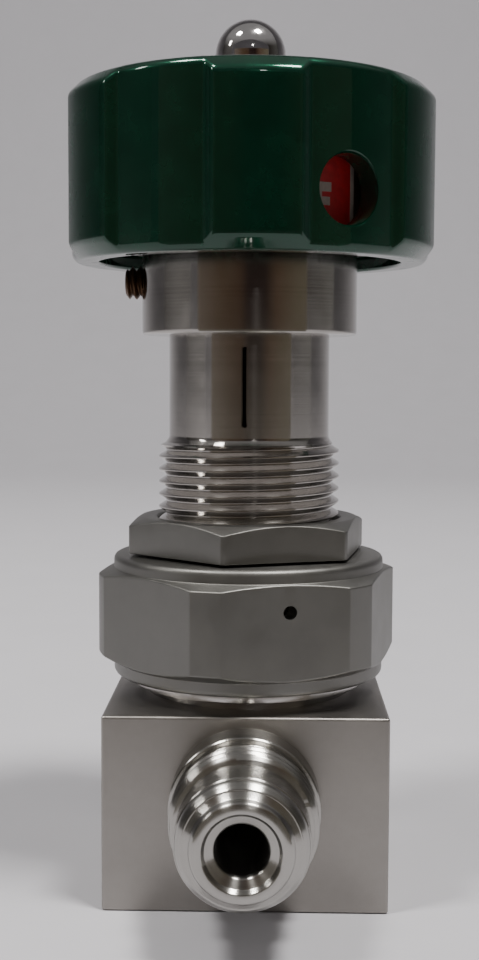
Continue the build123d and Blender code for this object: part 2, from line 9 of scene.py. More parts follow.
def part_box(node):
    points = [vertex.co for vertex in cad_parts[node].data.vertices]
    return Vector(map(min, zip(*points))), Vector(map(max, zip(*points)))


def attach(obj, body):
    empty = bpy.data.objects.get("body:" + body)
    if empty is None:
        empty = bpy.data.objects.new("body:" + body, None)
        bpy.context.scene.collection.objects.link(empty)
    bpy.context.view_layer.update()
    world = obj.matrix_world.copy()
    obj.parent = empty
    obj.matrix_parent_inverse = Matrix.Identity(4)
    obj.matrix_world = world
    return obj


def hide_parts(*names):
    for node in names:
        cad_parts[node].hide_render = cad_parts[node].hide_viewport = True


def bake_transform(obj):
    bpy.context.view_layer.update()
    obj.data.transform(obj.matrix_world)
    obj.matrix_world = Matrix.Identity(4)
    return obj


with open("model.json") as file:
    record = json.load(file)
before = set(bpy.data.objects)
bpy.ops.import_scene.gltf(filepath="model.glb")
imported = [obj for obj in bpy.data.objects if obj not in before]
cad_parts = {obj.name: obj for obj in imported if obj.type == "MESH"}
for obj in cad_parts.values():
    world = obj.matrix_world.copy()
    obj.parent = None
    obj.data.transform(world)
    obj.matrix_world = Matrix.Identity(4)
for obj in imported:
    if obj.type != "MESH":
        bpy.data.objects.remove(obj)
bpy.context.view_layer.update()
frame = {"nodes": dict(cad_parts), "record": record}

# Shapes are worked out in millimetres and stored in metres.
# Bearings run from -Y (the front) towards +X, in degrees unless a name says otherwise.
MM = 0.001
TAU = 2 * math.pi
WELD = 1e-7          # corners nearer than this, in metres, become one
SHARP = 32.0         # an edge that turns more than this, in degrees, stays sharp
MOST_ROUNDING = 0.49  # a rounding takes up at most this share of the shorter side beside it
PAST = 1             # how far a cutting tool goes past the surface that it cuts
FINE_COLUMNS = 720   # columns round a piece with flats or pads
TURNED_COLUMNS = 256  # columns round a plain turned piece
THREAD_COLUMNS = 240  # columns round the bonnet and the acorn nut
PORT_COLUMNS = 216
SCREW_COLUMNS = 96


def low(node, axis=2):
    """Lowest place of a CAD node along an axis."""
    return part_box(node)[0][axis] / MM


def high(node, axis=2):
    """Highest place of a CAD node along an axis."""
    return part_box(node)[1][axis] / MM


# ---------------------------------------------------------------- mesh tools

def rounded(corners, steps=3):
    """Outline points from corners (radius, height, rounding), with each corner rounded off."""
    points = []
    count = len(corners)
    for index, (radius, height, rounding) in enumerate(corners):
        here = Vector((radius, height))
        before = Vector(corners[index - 1][:2]) - here
        after = Vector(corners[(index + 1) % count][:2]) - here
        reach = min(rounding, MOST_ROUNDING * min(before.length, after.length))
        start = here + before.normalized() * reach
        end = here + after.normalized() * reach
        for step in range(steps + 1):
            t = step / steps
            points.append(start * (1 - t) ** 2 + here * 2 * t * (1 - t) + end * t ** 2)
    return points


def make_object(name, data, sharp=SHARP):
    """A smooth-shaded object from a bmesh, welded, with its sharp edges kept."""
    bmesh.ops.remove_doubles(data, verts=data.verts, dist=WELD)
    bmesh.ops.dissolve_degenerate(data, edges=data.edges, dist=WELD)
    bmesh.ops.recalc_face_normals(data, faces=data.faces)
    mesh = bpy.data.meshes.new(name)
    data.to_mesh(mesh)
    data.free()
    mesh.shade_smooth()
    mesh.set_sharp_from_angle(angle=math.radians(sharp))
    piece = bpy.data.objects.new(name, mesh)
    bpy.context.scene.collection.objects.link(piece)
    return piece


def polar(name, outline_at, columns, sharp=SHARP):
    """A closed solid about Z, where outline_at(bearing) gives each column's closed outline."""
    data = bmesh.new()
    grid = []
    for column in range(columns + 1):
        angle = TAU * column / columns
        across = math.sin(angle) * MM
        forward = -math.cos(angle) * MM
        outline = outline_at(math.degrees(angle))
        grid.append([data.verts.new((r * across, r * forward, h * MM)) for r, h in outline])
    rows = len(grid[0])
    for first, second in zip(grid, grid[1:]):
        for row in range(rows):
            after = (row + 1) % rows
            data.faces.new((first[row], second[row], second[after], first[after]))
    return make_object(name, data, sharp)


def lathe(name, corners, columns=TURNED_COLUMNS):
    """A turned solid from rounded outline corners."""
    outline = rounded(corners)
    return polar(name, lambda bearing: outline, columns)


def plain_bar(name, radius, start, end, columns):
    """A bar with square ends along Z; few columns make it a prism."""
    return lathe(name, [(0, start, 0), (radius, start, 0), (radius, end, 0), (0, end, 0)], columns)


def carry(piece, matrix):
    """Moves a piece's mesh to its place, so that the object itself stays at the origin."""
    piece.data.transform(matrix)
    piece.data.update()
    return piece


def combine(piece, tools, operation="DIFFERENCE", sharp=SHARP):
    """Cuts closed tools out of a piece, or joins them to it, and removes them."""
    for tool in tools:
        modifier = piece.modifiers.new("combine", "BOOLEAN")
        modifier.object = tool
        modifier.operation = operation
        modifier.solver = "EXACT"
    bpy.context.view_layer.update()
    graph = bpy.context.evaluated_depsgraph_get()
    mesh = bpy.data.meshes.new_from_object(piece.evaluated_get(graph))
    piece.modifiers.clear()
    piece.data = mesh
    mesh.shade_smooth()
    mesh.set_sharp_from_angle(angle=math.radians(sharp))
    for tool in tools:
        bpy.data.objects.remove(tool)
    return piece


def along(bearing, height):
    """The matrix that lays the Z axis outwards along a bearing at one height."""
    turn = Matrix.Rotation(math.radians(bearing), 4, "Z")
    lay = Matrix.Rotation(math.radians(90), 4, "X")
    return turn @ Matrix.Translation((0, 0, height * MM)) @ lay


def hole_tool(radius, start, end, height, bearing, columns=96):
    """A round bar outwards along a bearing, used to cut a hole."""
    return carry(plain_bar("tool", radius, start, end, columns), along(bearing, height))


def hex_radius(apothem, bearing, flat_bearing):
    """Distance from the axis to a hexagon's side at a bearing."""
    from_flat = (bearing - flat_bearing + 30) % 60 - 30
    return apothem / math.cos(math.radians(from_flat))


# One pitch of thread: (fraction of the pitch from the crest, share of the thread's depth)
THREAD_SHAPE = (
    (0.0, 1.0), (0.055, 0.985), (0.1, 0.9), (0.25, 0.52), (0.4, 0.12), (0.45, 0.02),
    (0.5, 0.0), (0.55, 0.02), (0.6, 0.12), (0.75, 0.52), (0.9, 0.9), (0.945, 0.985),
)


def thread(bearing, start, end, pitch, crest, root, crest_height, lead_in=1.2):
    """One column of a right-hand thread between two heights, with a cone at each end.
    lead_in is how steeply those cones open, as radius over height."""
    points = []
    first = math.floor((start - crest_height) / pitch) - 2
    last = math.ceil((end - crest_height) / pitch) + 1
    for turn in range(first, last):
        for fraction, share in THREAD_SHAPE:
            height = crest_height + pitch * (turn + fraction + bearing / 360)
            height = min(max(height, start), end)
            cone = root + lead_in * min(height - start, end - height)
            points.append(Vector((min(root + (crest - root) * share, cone), height)))
    return points


# ---------------------------------------------------------------- materials

GRAIN_DEPTH = 0.00002         # metres of relief in grain and turning marks
PAINT_DEPTH = 0.0002          # metres of relief in the enamel's ripple
COLOR_SPAN = (0.32, 0.68)     # noise values that give the darkest and the full colour
ROUGHNESS_SPAN = (0.3, 0.7)   # noise values that give the lowest and the highest roughness
STAIN_DARK = 0.86             # brightness of a stain on steel
TURNING_SCALE = 5200.0        # turning marks per metre, roughly
ACROSS_GROOVES = 0.9          # how much more the turning marks blur across themselves
QUARTER_TURN = 0.25


def new_material(name, metallic):
    """A node material with its principled shader."""
    material = bpy.data.materials.new(name)
    material.use_nodes = True
    shader = material.node_tree.nodes["Principled BSDF"]
    shader.inputs["Metallic"].default_value = metallic
    return material, shader


def add(material, kind, **values):
    """Adds a node and sets its input sockets by name."""
    node = material.node_tree.nodes.new(kind)
    for key, value in values.items():
        node.inputs[key].default_value = value
    return node


def link(material, source, target):
    """Joins an output socket to an input socket; a world has the same kind of node tree."""
    material.node_tree.links.new(source, target)


def calculate(material, operation, first, second=None):
    """A maths node; each input is a socket or a number."""
    node = material.node_tree.nodes.new("ShaderNodeMath")
    node.operation = operation
    for socket, value in zip(node.inputs, (first, second)):
        if value is None:
            continue
        if isinstance(value, (int, float)):
            socket.default_value = value
        else:
            link(material, value, socket)
    return node.outputs[0]


def ramp(material, source, stops):
    """A colour ramp with stops (place, grey or colour)."""
    node = material.node_tree.nodes.new("ShaderNodeValToRGB")
    elements = node.color_ramp.elements
    while len(elements) < len(stops):
        elements.new(1.0)
    for element, (position, color) in zip(elements, stops):
        element.position = position
        element.color = (*color, 1) if isinstance(color, tuple) else (color, color, color, 1)
    link(material, source, node.inputs[0])
    return node.outputs[0]


def mix_colors(material, share, first, second, blend="MIX"):
    """Mixes two colours by a share; each input is a socket or a fixed value."""
    node = material.node_tree.nodes.new("ShaderNodeMix")
    node.data_type = "RGBA"
    node.blend_type = blend
    factor_socket, first_socket, second_socket = node.inputs[0], node.inputs[6], node.inputs[7]
    for socket, value in ((factor_socket, share), (first_socket, first), (second_socket, second)):
        if isinstance(value, (int, float, tuple)):
            socket.default_value = value
        else:
            link(material, value, socket)
    return node.outputs[2]


def noise(material, vector, scale, detail=3.0):
    """A noise's value, from 0 to 1 and mostly near the middle."""
    node = add(material, "ShaderNodeTexNoise", Scale=scale, Detail=detail, Roughness=0.6)
    link(material, vector, node.inputs["Vector"])
    return node.outputs["Fac"]


def bump(material, shader, height, strength, distance):
    """Gives the surface a relief from a height value."""
    node = add(material, "ShaderNodeBump", Strength=strength, Distance=distance)
    link(material, height, node.inputs["Height"])
    link(material, node.outputs[0], shader.inputs["Normal"])


def scaled(material, vector, scale):
    """Coordinates stretched by a different factor along each axis."""
    node = add(material, "ShaderNodeMapping", Scale=scale)
    link(material, vector, node.inputs["Vector"])
    return node.outputs[0]


def object_place(material):
    """The place on the object, in metres."""
    return material.node_tree.nodes.new("ShaderNodeTexCoord").outputs["Object"]


def turning(material, axis, height, tightness):
    """Coordinates (distance along the Y or Z axis, distance from it, 0), for grooves round it.
    The axis lies at the given height when it is Y."""
    split = material.node_tree.nodes.new("ShaderNodeSeparateXYZ")
    link(material, object_place(material), split.inputs[0])
    first = split.outputs["X"]
    second = split.outputs["Y" if axis == "Z" else "Z"]
    if height:
        second = calculate(material, "SUBTRACT", second, height * MM)
    squares = calculate(
        material,
        "ADD",
        calculate(material, "MULTIPLY", first, first),
        calculate(material, "MULTIPLY", second, second),
    )
    radius = calculate(material, "SQRT", squares)
    join = material.node_tree.nodes.new("ShaderNodeCombineXYZ")
    link(material, calculate(material, "MULTIPLY", split.outputs[axis], tightness), join.inputs[0])
    link(material, calculate(material, "MULTIPLY", radius, tightness), join.inputs[1])
    return join.outputs[0]


def vary(material, shader, source, color, dark, roughness, spread):
    """Colour and roughness that both wander a little with a noise."""
    darker = tuple(channel * dark for channel in color)
    colors = [(COLOR_SPAN[0], darker), (COLOR_SPAN[1], color)]
    link(material, ramp(material, source, colors), shader.inputs["Base Color"])
    greys = [(ROUGHNESS_SPAN[0], max(roughness - spread, 0.02)), (ROUGHNESS_SPAN[1], roughness + spread)]
    link(material, ramp(material, source, greys), shader.inputs["Roughness"])


def turned_steel(name, axis, color, roughness, groove, height=0.0):
    """Polished steel with fine turning marks round an axis and slight stains."""
    material, shader = new_material(name, 1.0)
    rings = noise(material, turning(material, axis, height, TURNING_SCALE), 1.0)
    stain = noise(material, object_place(material), 330.0, 4.0)
    blend = calculate(material, "MULTIPLY", calculate(material, "ADD", rings, stain), 0.5)
    vary(material, shader, blend, color, STAIN_DARK, roughness, 0.04)
    bump(material, shader, rings, groove, GRAIN_DEPTH)
    shader.inputs["Anisotropic"].default_value = ACROSS_GROOVES
    shader.inputs["Anisotropic Rotation"].default_value = QUARTER_TURN
    tangent = material.node_tree.nodes.new("ShaderNodeTangent")
    tangent.direction_type = "RADIAL"
    tangent.axis = axis
    link(material, tangent.outputs[0], shader.inputs["Tangent"])
    return material


def brushed_steel(name, color, roughness, stretch, grain):
    """Satin steel with a fine grain and faint handling stains."""
    material, shader = new_material(name, 1.0)
    place = object_place(material)
    fine = noise(material, scaled(material, place, stretch), 1.0, 4.0)
    stain = noise(material, place, 190.0, 5.0)
    vary(material, shader, stain, color, STAIN_DARK, roughness, 0.05)
    bump(material, shader, fine, grain, GRAIN_DEPTH)
    return material


def enamel(name, color, roughness):
    """Thick glossy paint over bright metal: a faint ripple, tiny pits and a slow change of tone."""
    material, shader = new_material(name, 0.6)
    shader.inputs["Coat Weight"].default_value = 0.8
    shader.inputs["Coat Roughness"].default_value = 0.05
    shader.inputs["Specular IOR Level"].default_value = 0.0
    place = object_place(material)
    ripple = noise(material, place, 330.0, 2.0)
    speck = noise(material, place, 2400.0, 2.0)
    vary(material, shader, ripple, color, 0.8, roughness, 0.05)
    mixed = calculate(material, "ADD", ripple, calculate(material, "MULTIPLY", speck, 0.15))
    bump(material, shader, mixed, 0.10, PAINT_DEPTH)
    return material


def grained(name, color, roughness, metallic=0.0, scale=1500.0, dark=0.8, relief=0.25):
    """Plastic, rubber, print or metal with a fine grain in its colour, gloss and relief."""
    material, shader = new_material(name, metallic)
    grain = noise(material, object_place(material), scale)
    vary(material, shader, grain, color, dark, roughness, 0.06)
    bump(material, shader, grain, relief, GRAIN_DEPTH)
    return material


PORT_HEIGHT = (low("inlet_fitting") + high("inlet_fitting")) / 2
SCREW_HEIGHT = (low("set_screw") + high("set_screw")) / 2

FINISH = {
    "body_steel": brushed_steel("body_steel", (0.31, 0.293, 0.273), 0.38, (9000, 9000, 900), 0.3),
    "nut_steel": brushed_steel("nut_steel", (0.198, 0.195, 0.183), 0.46, (5200, 5200, 5200), 0.25),
    "port_steel": turned_steel("port_steel", "Y", (0.39, 0.379, 0.356), 0.23, 0.06, PORT_HEIGHT),
    "polished_steel": turned_steel("polished_steel", "Z", (0.55, 0.53, 0.51), 0.18, 0.05),
    "sleeve_steel": turned_steel("sleeve_steel", "Z", (0.44, 0.42, 0.395), 0.15, 0.12),
    "dome_steel": grained("dome_steel", (0.60, 0.58, 0.57), 0.09, 1.0, 900.0, 0.93, 0.03),
    "bellows_steel": turned_steel("bellows_steel", "Z", (0.62, 0.61, 0.60), 0.22, 0.1),
    "hardened_steel": grained("hardened_steel", (0.45, 0.45, 0.46), 0.25, 1.0),
    "gasket_metal": grained("gasket_metal", (0.60, 0.57, 0.50), 0.4, 1.0),
    "bronze": grained("bronze", (0.55, 0.36, 0.16), 0.35, 1.0),
    "dark_screw": grained("dark_screw", (0.10, 0.055, 0.03), 0.36, 0.9),
    "seat_polymer": grained("seat_polymer", (0.82, 0.81, 0.76), 0.5),
    "rubber_seal": grained("rubber_seal", (0.02, 0.02, 0.02), 0.6),
    "drum_black": grained("drum_black", (0.03, 0.018, 0.014), 0.45),
    # red_label: partly the label's own red and partly painted shade, darkened for its place inside the
    # knob's window
    "red_label": grained("red_label", (0.36, 0.006, 0.010), 0.45, dark=0.7),
    "green_label": grained("green_label", (0.02, 0.30, 0.06), 0.4, dark=0.7),
    "white_print": grained("white_print", (0.27, 0.22, 0.19), 0.5),
    "green_enamel": enamel("green_enamel", (0.0032, 0.036, 0.019), 0.25),
}

# The CAD body that each node belongs to, and the finish that the record gives it
BODY_OF = {}
for body_name, members in frame["record"]["behaviour"]["bodies"].items():
    for member in members:
        BODY_OF[member] = body_name
SLOT_OF = {entry["node"]: entry["material_slot"] for entry in frame["record"]["subparts"]}


def flatten_faces(piece):
    """Shades large faces flat up to their rounded edges."""
    modifier = piece.modifiers.new("face_normals", "WEIGHTED_NORMAL")
    modifier.mode = "FACE_AREA"
    modifier.keep_sharp = True
    modifier.weight = 60


def stands_for(piece, node, finish=None):
    """Gives a piece the body and slot of the CAD node that it replaces, and its finish or another."""
    piece.data.materials.clear()
    piece.data.materials.append(FINISH[finish or SLOT_OF[node]])
    flatten_faces(piece)
    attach(piece, BODY_OF[node])
    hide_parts(node)
    return piece


# ---------------------------------------------------------------- body block and ports

BODY_SIDE = high("valve_body", 0)
BODY_TOP = 19.8
BODY_EDGE = 0.3
NECK_SUNK = 2
NECK_FACES_START = BODY_TOP + 0.01
NECK_TOP = high("valve_body")
NECK_RELIEF_R = 11.0
NECK_RELIEF_TOP = 22.4
NECK_RING_R = 12.5
NECK_RING_BOTTOM = 20.7
NECK_RING_TOP = low("bonnet_nut") - 0.1
NECK_THREAD_R = 12.0
CHAMBER_R = 7.0
CHAMBER_FLOOR = 16.0
SPIGOT_R = 5.0
SPIGOT_DEPTH = 4.0
PASSAGE_R = 2.0
INLET_END = -1.6
OUTLET_START = 4.2


def make_body():
    """Bevelled block with its turned neck and ring, bellows chamber and flow passages."""
    data = bmesh.new()
    size = Matrix.Diagonal((2 * BODY_SIDE * MM, 2 * BODY_SIDE * MM, BODY_TOP * MM, 1))
    lift = Matrix.Translation((0, 0, BODY_TOP / 2 * MM))
    bmesh.ops.create_cube(data, size=1, matrix=lift @ size)
    bmesh.ops.bevel(
        data, geom=data.edges[:], offset=BODY_EDGE * MM, segments=3, profile=0.5, affect="EDGES"
    )
    block = make_object("valve_body_block", data)
    neck = lathe("neck", [
        (0, BODY_TOP - NECK_SUNK, 0),
        (NECK_RELIEF_R, BODY_TOP - NECK_SUNK, 0),
        (NECK_RELIEF_R, NECK_RING_BOTTOM, 0.1),
        (NECK_RING_R, NECK_RING_BOTTOM, 0.12),
        (NECK_RING_R, NECK_RING_TOP, 0.12),
        (NECK_RELIEF_R, NECK_RING_TOP, 0.1),
        (NECK_RELIEF_R, NECK_RELIEF_TOP, 0.1),
        (NECK_THREAD_R, NECK_RELIEF_TOP + 0.5, 0.15),
        (NECK_THREAD_R, NECK_TOP, 0.4),
        (0, NECK_TOP, 0),
    ])
    combine(block, [neck], "UNION")
    outside = BODY_SIDE + PAST
    cutters = [
        plain_bar("chamber", CHAMBER_R, CHAMBER_FLOOR, NECK_TOP + PAST, TURNED_COLUMNS),
        hole_tool(PASSAGE_R, INLET_END, outside, PORT_HEIGHT, 0),
        hole_tool(PASSAGE_R, OUTLET_START, outside, PORT_HEIGHT, 180),
        hole_tool(SPIGOT_R, BODY_SIDE - SPIGOT_DEPTH, outside, PORT_HEIGHT, 0),
        hole_tool(SPIGOT_R, BODY_SIDE - SPIGOT_DEPTH, outside, PORT_HEIGHT, 180),
    ]
    combine(block, cutters)
    stands_for(block, "valve_body")
    block.data.materials.append(FINISH["polished_steel"])
    for face in block.data.polygons:
        face.material_index = int(face.center.z > NECK_FACES_START * MM)
    return block


# Lengths along a port are counted from the body's side
PORT_COLLAR_R = 7.45
PORT_COLLAR_LENGTH = 3.6
PORT_RELIEF_R = 6.7
PORT_THREAD = (3.95, 8.5)
PORT_THREAD_R = 7.14
PORT_THREAD_ROOT = 6.66
PORT_CREST = 4.6
PORT_PITCH = 1.411
PILOT_R = 6.3
PORT_BORE_R = 2.35


def port_outline(bearing):
    """Closed outline of a fitting, with its length counted from the body's side."""
    back = rounded([
        (PORT_BORE_R, -SPIGOT_DEPTH, 0),
        (SPIGOT_R, -SPIGOT_DEPTH, 0),
        (SPIGOT_R, 0, 0),
        (PORT_COLLAR_R, 0, 0.25),
        (PORT_COLLAR_R, PORT_COLLAR_LENGTH, 0.3),
        (PORT_RELIEF_R, PORT_COLLAR_LENGTH, 0.1),
    ])
    threads = thread(bearing, *PORT_THREAD, PORT_PITCH, PORT_THREAD_R, PORT_THREAD_ROOT, PORT_CREST)
    nose = rounded([
        # shallow groove behind the pilot
        (PILOT_R - 0.2, PORT_THREAD[1] + 0.05, 0.05),
        (PILOT_R - 0.2, 8.75, 0.05),
        # pilot, a fine step and the rounded nose
        (PILOT_R, 8.85, 0.08),
        (PILOT_R, 12.6, 0.1),
        (PILOT_R - 0.14, 12.7, 0.04),
        (PILOT_R - 0.2, 13.15, 0.5),
        (5.55, 13.85, 0.1),
        # sealing bead on the nose
        (5.42, 13.85, 0.04),
        (4.85, 14.35, 0.1),
        (4.6, 14.95, 0.3),
        (4.05, 15.11, 0.35),
        (3.66, 15.07, 0.1),
        # cone mouth inside the bead
        (3.36, 14.6, 0.06),
        (2.5, 14.15, 0.2),
        (PORT_BORE_R, 13.6, 0.2),
    ], steps=4)
    return back + threads + nose


def make_fitting(node, bearing):
    """Male face-seal fitting: collar, thread, pilot, rounded nose and sealing bead."""
    fitting = polar(node + "_detail", port_outline, PORT_COLUMNS)
    outwards = Matrix.Translation((0, 0, BODY_SIDE * MM))
    carry(fitting, along(bearing, PORT_HEIGHT) @ outwards)
    return stands_for(fitting, node, "port_steel")


# ---------------------------------------------------------------- bonnet and nuts

FLANGE_R = 11.8
FLANGE_TOP = 31.2
BONNET_BOTTOM = low("bonnet")
BONNET_THREAD_R = 9.66
BONNET_THREAD_ROOT = 8.86
BONNET_THREAD_TOP = 46.3
BONNET_PITCH = 1.34
CREST_HEIGHT = 42.41
SLEEVE_R = 8.53
SLEEVE_TOP = high("bonnet")
LOWER_BORE_R = 5.5
UPPER_BORE_R = 6.4
SHOULDER_HEIGHT = 39.5
SLOT_WIDTH = 0.62
SLOT_BOTTOM = 48.1
SLOT_TOP = 56.3
SLOT_BEARING = -2.3
SLOT_INSIDE = 0.8    # the cutting tool starts at this share of the bore's radius
SLOT_END_STEPS = 12
THREAD_GAP = 0.05


def bonnet_outline(bearing):
    """Closed outline of the bonnet: flange, panel thread and plain sleeve."""
    flange = rounded([
        (LOWER_BORE_R, BONNET_BOTTOM, 0),
        (FLANGE_R, BONNET_BOTTOM, 0.2),
        (FLANGE_R, FLANGE_TOP, 0.2),
        (BONNET_THREAD_ROOT, FLANGE_TOP, 0.1),
    ])
    threads = thread(
        bearing, FLANGE_TOP + 0.1, BONNET_THREAD_TOP, BONNET_PITCH,
        BONNET_THREAD_R, BONNET_THREAD_ROOT, CREST_HEIGHT, lead_in=1.9,
    )
    sleeve = rounded([
        (BONNET_THREAD_ROOT, BONNET_THREAD_TOP + 0.02, 0),
        (SLEEVE_R, BONNET_THREAD_TOP + 0.5, 0.25),
        (SLEEVE_R, SLEEVE_TOP, 0.3),
        (UPPER_BORE_R, SLEEVE_TOP, 0.1),
        (UPPER_BORE_R, SHOULDER_HEIGHT, 0),
        (LOWER_BORE_R, SHOULDER_HEIGHT, 0),
    ])
    return flange + threads + sleeve


def slot_tool():
    """A flat bar with round ends, which cuts the narrow slot in the sleeve."""
    data = bmesh.new()
    half = SLOT_WIDTH / 2
    rim = []
    for end, start_angle in ((SLOT_TOP - half, 0), (SLOT_BOTTOM + half, 180)):
        for step in range(SLOT_END_STEPS + 1):
            angle = math.radians(start_angle + 180 * step / SLOT_END_STEPS)
            rim.append((half * math.cos(angle), end + half * math.sin(angle)))
    near = [data.verts.new((x * MM, -UPPER_BORE_R * SLOT_INSIDE * MM, z * MM)) for x, z in rim]
    far = [data.verts.new((x * MM, -(SLEEVE_R + PAST) * MM, z * MM)) for x, z in rim]
    for index in range(len(rim)):
        after = (index + 1) % len(rim)
        data.faces.new((near[index], near[after], far[after], far[index]))
    data.faces.new(near)
    data.faces.new(far)
    tool = make_object("slot_tool", data)
    return carry(tool, Matrix.Rotation(math.radians(SLOT_BEARING), 4, "Z"))


def make_bonnet():
    """Bonnet with real threads and the slot through its sleeve."""
    bonnet = polar("bonnet_detail", bonnet_outline, THREAD_COLUMNS)
    combine(bonnet, [slot_tool()])
    return stands_for(bonnet, "bonnet")


NUT_BOTTOM = low("bonnet_nut")
NUT_TOP = high("bonnet_nut")
NUT_APOTHEM = 14.7
NUT_CORNER_R = 16.1
NUT_SHOULDER_R = 14.45
NUT_HEX = (23.15, 33.0)      # heights where the flats start and end
NUT_CHAMFERS = (0.85, 0.55)  # height that the corners lose at the bottom and top
NUT_FLAT_BEARING = 15.9
LEAK_HOLE_R = 0.7
LEAK_HOLE_HEIGHT = 30.2
LEAK_HOLE_BEARING = 17.3
LEAK_HOLE_COLUMNS = 48


def bonnet_nut_outline(bearing):
    """Closed outline of the union nut at one bearing."""
    side = min(hex_radius(NUT_APOTHEM, bearing, NUT_FLAT_BEARING), NUT_CORNER_R)
    reach = (side - NUT_SHOULDER_R) / (NUT_CORNER_R - NUT_SHOULDER_R)
    bottom, top = NUT_HEX
    return rounded([
        (NECK_THREAD_R + THREAD_GAP, NUT_BOTTOM, 0.3),
        (NUT_SHOULDER_R, NUT_BOTTOM, 0.6),
        (NUT_SHOULDER_R, bottom, 0.08),
        (side, bottom + NUT_CHAMFERS[0] * reach, 0.18),
        (side, top - NUT_CHAMFERS[1] * reach, 0.18),
        (NUT_SHOULDER_R, top, 0.08),
        (NUT_SHOULDER_R, NUT_TOP, 1.0),
        (BONNET_THREAD_R + THREAD_GAP, NUT_TOP, 0.4),
        (BONNET_THREAD_R + THREAD_GAP, FLANGE_TOP, 0),
        (NECK_THREAD_R + THREAD_GAP, FLANGE_TOP, 0),
    ], steps=4)


def make_bonnet_nut():
    """Union nut with round shoulders, turned corners and a small leak-test hole."""
    nut = polar("bonnet_nut_detail", bonnet_nut_outline, FINE_COLUMNS)
    combine(nut, [hole_tool(
        LEAK_HOLE_R, FLANGE_R, NUT_CORNER_R, LEAK_HOLE_HEIGHT, LEAK_HOLE_BEARING, LEAK_HOLE_COLUMNS
    )])
    return stands_for(nut, "bonnet_nut")


PANEL_APOTHEM = 11.55
PANEL_CORNER_R = PANEL_APOTHEM / math.cos(math.radians(30))
PANEL_CORNER_CUT = 0.12
PANEL_CHAMFER = 0.8
PANEL_FLAT_BEARING = 19.8
PANEL_BOTTOM = low("panel_nut")
PANEL_TOP = high("panel_nut")


def panel_nut_outline(bearing):
    """Closed outline of the thin nut at one bearing; only its top is chamfered."""
    side = min(hex_radius(PANEL_APOTHEM, bearing, PANEL_FLAT_BEARING), PANEL_CORNER_R - PANEL_CORNER_CUT)
    chamfer = PANEL_CHAMFER * (side - PANEL_APOTHEM) / (PANEL_CORNER_R - PANEL_APOTHEM)
    bore = BONNET_THREAD_R + THREAD_GAP
    return rounded([
        (bore, PANEL_BOTTOM, 0.3),
        (side, PANEL_BOTTOM, 0.12),
        (side, PANEL_TOP - chamfer - 0.05, 0.12),
        (PANEL_APOTHEM - 0.1, PANEL_TOP, 0.1),
        (bore, PANEL_TOP, 0.5),
    ])


# ---------------------------------------------------------------- bellows

BELLOWS_FOLDS = 9
BELLOWS_WALL = 0.3
BELLOWS_ROOT_R = 4.2
FOLD_ROUNDING = 0.08


def make_bellows():
    """Folded tube between the flange ring and the needle."""
    bottom = low("bellows")
    top = high("bellows")
    root = BELLOWS_ROOT_R + BELLOWS_WALL
    step = (top - bottom - BELLOWS_WALL) / (2 * BELLOWS_FOLDS)
    outer = []
    for index in range(2 * BELLOWS_FOLDS + 1):
        radius = root if index % 2 == 0 else high("bellows", 0)
        outer.append((radius, bottom + BELLOWS_WALL / 2 + index * step, FOLD_ROUNDING))
    inner = [(radius - BELLOWS_WALL, height, rounding) for radius, height, rounding in reversed(outer)]
    lower_end = [(BELLOWS_ROOT_R, bottom, 0), (root, bottom, 0)]
    upper_end = [(root, top, 0), (BELLOWS_ROOT_R, top, 0)]
    tube = lathe("bellows_folds", lower_end + outer + upper_end + inner)
    tube.data.materials.append(FINISH[SLOT_OF["bellows"]])
    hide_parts("bellows")
    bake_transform(tube)
    return tube


# ---------------------------------------------------------------- collar and set screw

COLLAR_R = high("collar", 0)
COLLAR_BOTTOM = low("collar")
DRUM_FLOOR_TOP = high("collar")
COLLAR_TOP = 66.6
SPIGOT_RING_R = 10.0
COLLAR_GAP = 0.03
COLLAR_COLUMNS = 360
SCREW_BEARING = -90
SCREW_R = 1.75
SCREW_ROOT = 1.32
SCREW_PITCH = 0.794
SCREW_HOLE_R = SCREW_R + 0.02
SCREW_TIP_R = SCREW_ROOT - 0.1
SCREW_PLAIN = 0.05   # plain length at each end of the thread
SCREW_CREST = 0.3
SCREW_LEAD_IN = 1.3
SCREW_LENGTH = high("set_screw", 0) - low("set_screw", 0)
SCREW_START = -high("set_screw", 0)
KEY_R = 0.92
KEY_DEPTH = 1.6
KEY_SIDES = 6


def make_collar():
    """Polished collar with a spigot for the drum and a plain hole for the screw at the left."""
    bore = SLEEVE_R + COLLAR_GAP
    collar = lathe("collar_detail", [
        (bore, COLLAR_BOTTOM, 0.3),
        (COLLAR_R, COLLAR_BOTTOM, 0.45),
        (COLLAR_R, COLLAR_TOP, 0.3),
        (SPIGOT_RING_R, COLLAR_TOP, 0),
        (SPIGOT_RING_R, DRUM_FLOOR_TOP, 0.1),
        (bore, DRUM_FLOOR_TOP, 0.2),
    ], COLLAR_COLUMNS)
    combine(collar, [hole_tool(SCREW_HOLE_R, SLEEVE_R - PAST, COLLAR_R + PAST, SCREW_HEIGHT, SCREW_BEARING)])
    return stands_for(collar, "collar")


def screw_outline(bearing):
    """Closed outline of the headless screw, with its length counted outwards."""
    threads = thread(
        bearing, SCREW_PLAIN, SCREW_LENGTH - SCREW_PLAIN, SCREW_PITCH,
        SCREW_R, SCREW_ROOT, SCREW_CREST, SCREW_LEAD_IN,
    )
    start = [Vector((0, 0)), Vector((SCREW_TIP_R, 0))]
    end = [Vector((SCREW_TIP_R, SCREW_LENGTH)), Vector((0, SCREW_LENGTH))]
    return start + threads + end


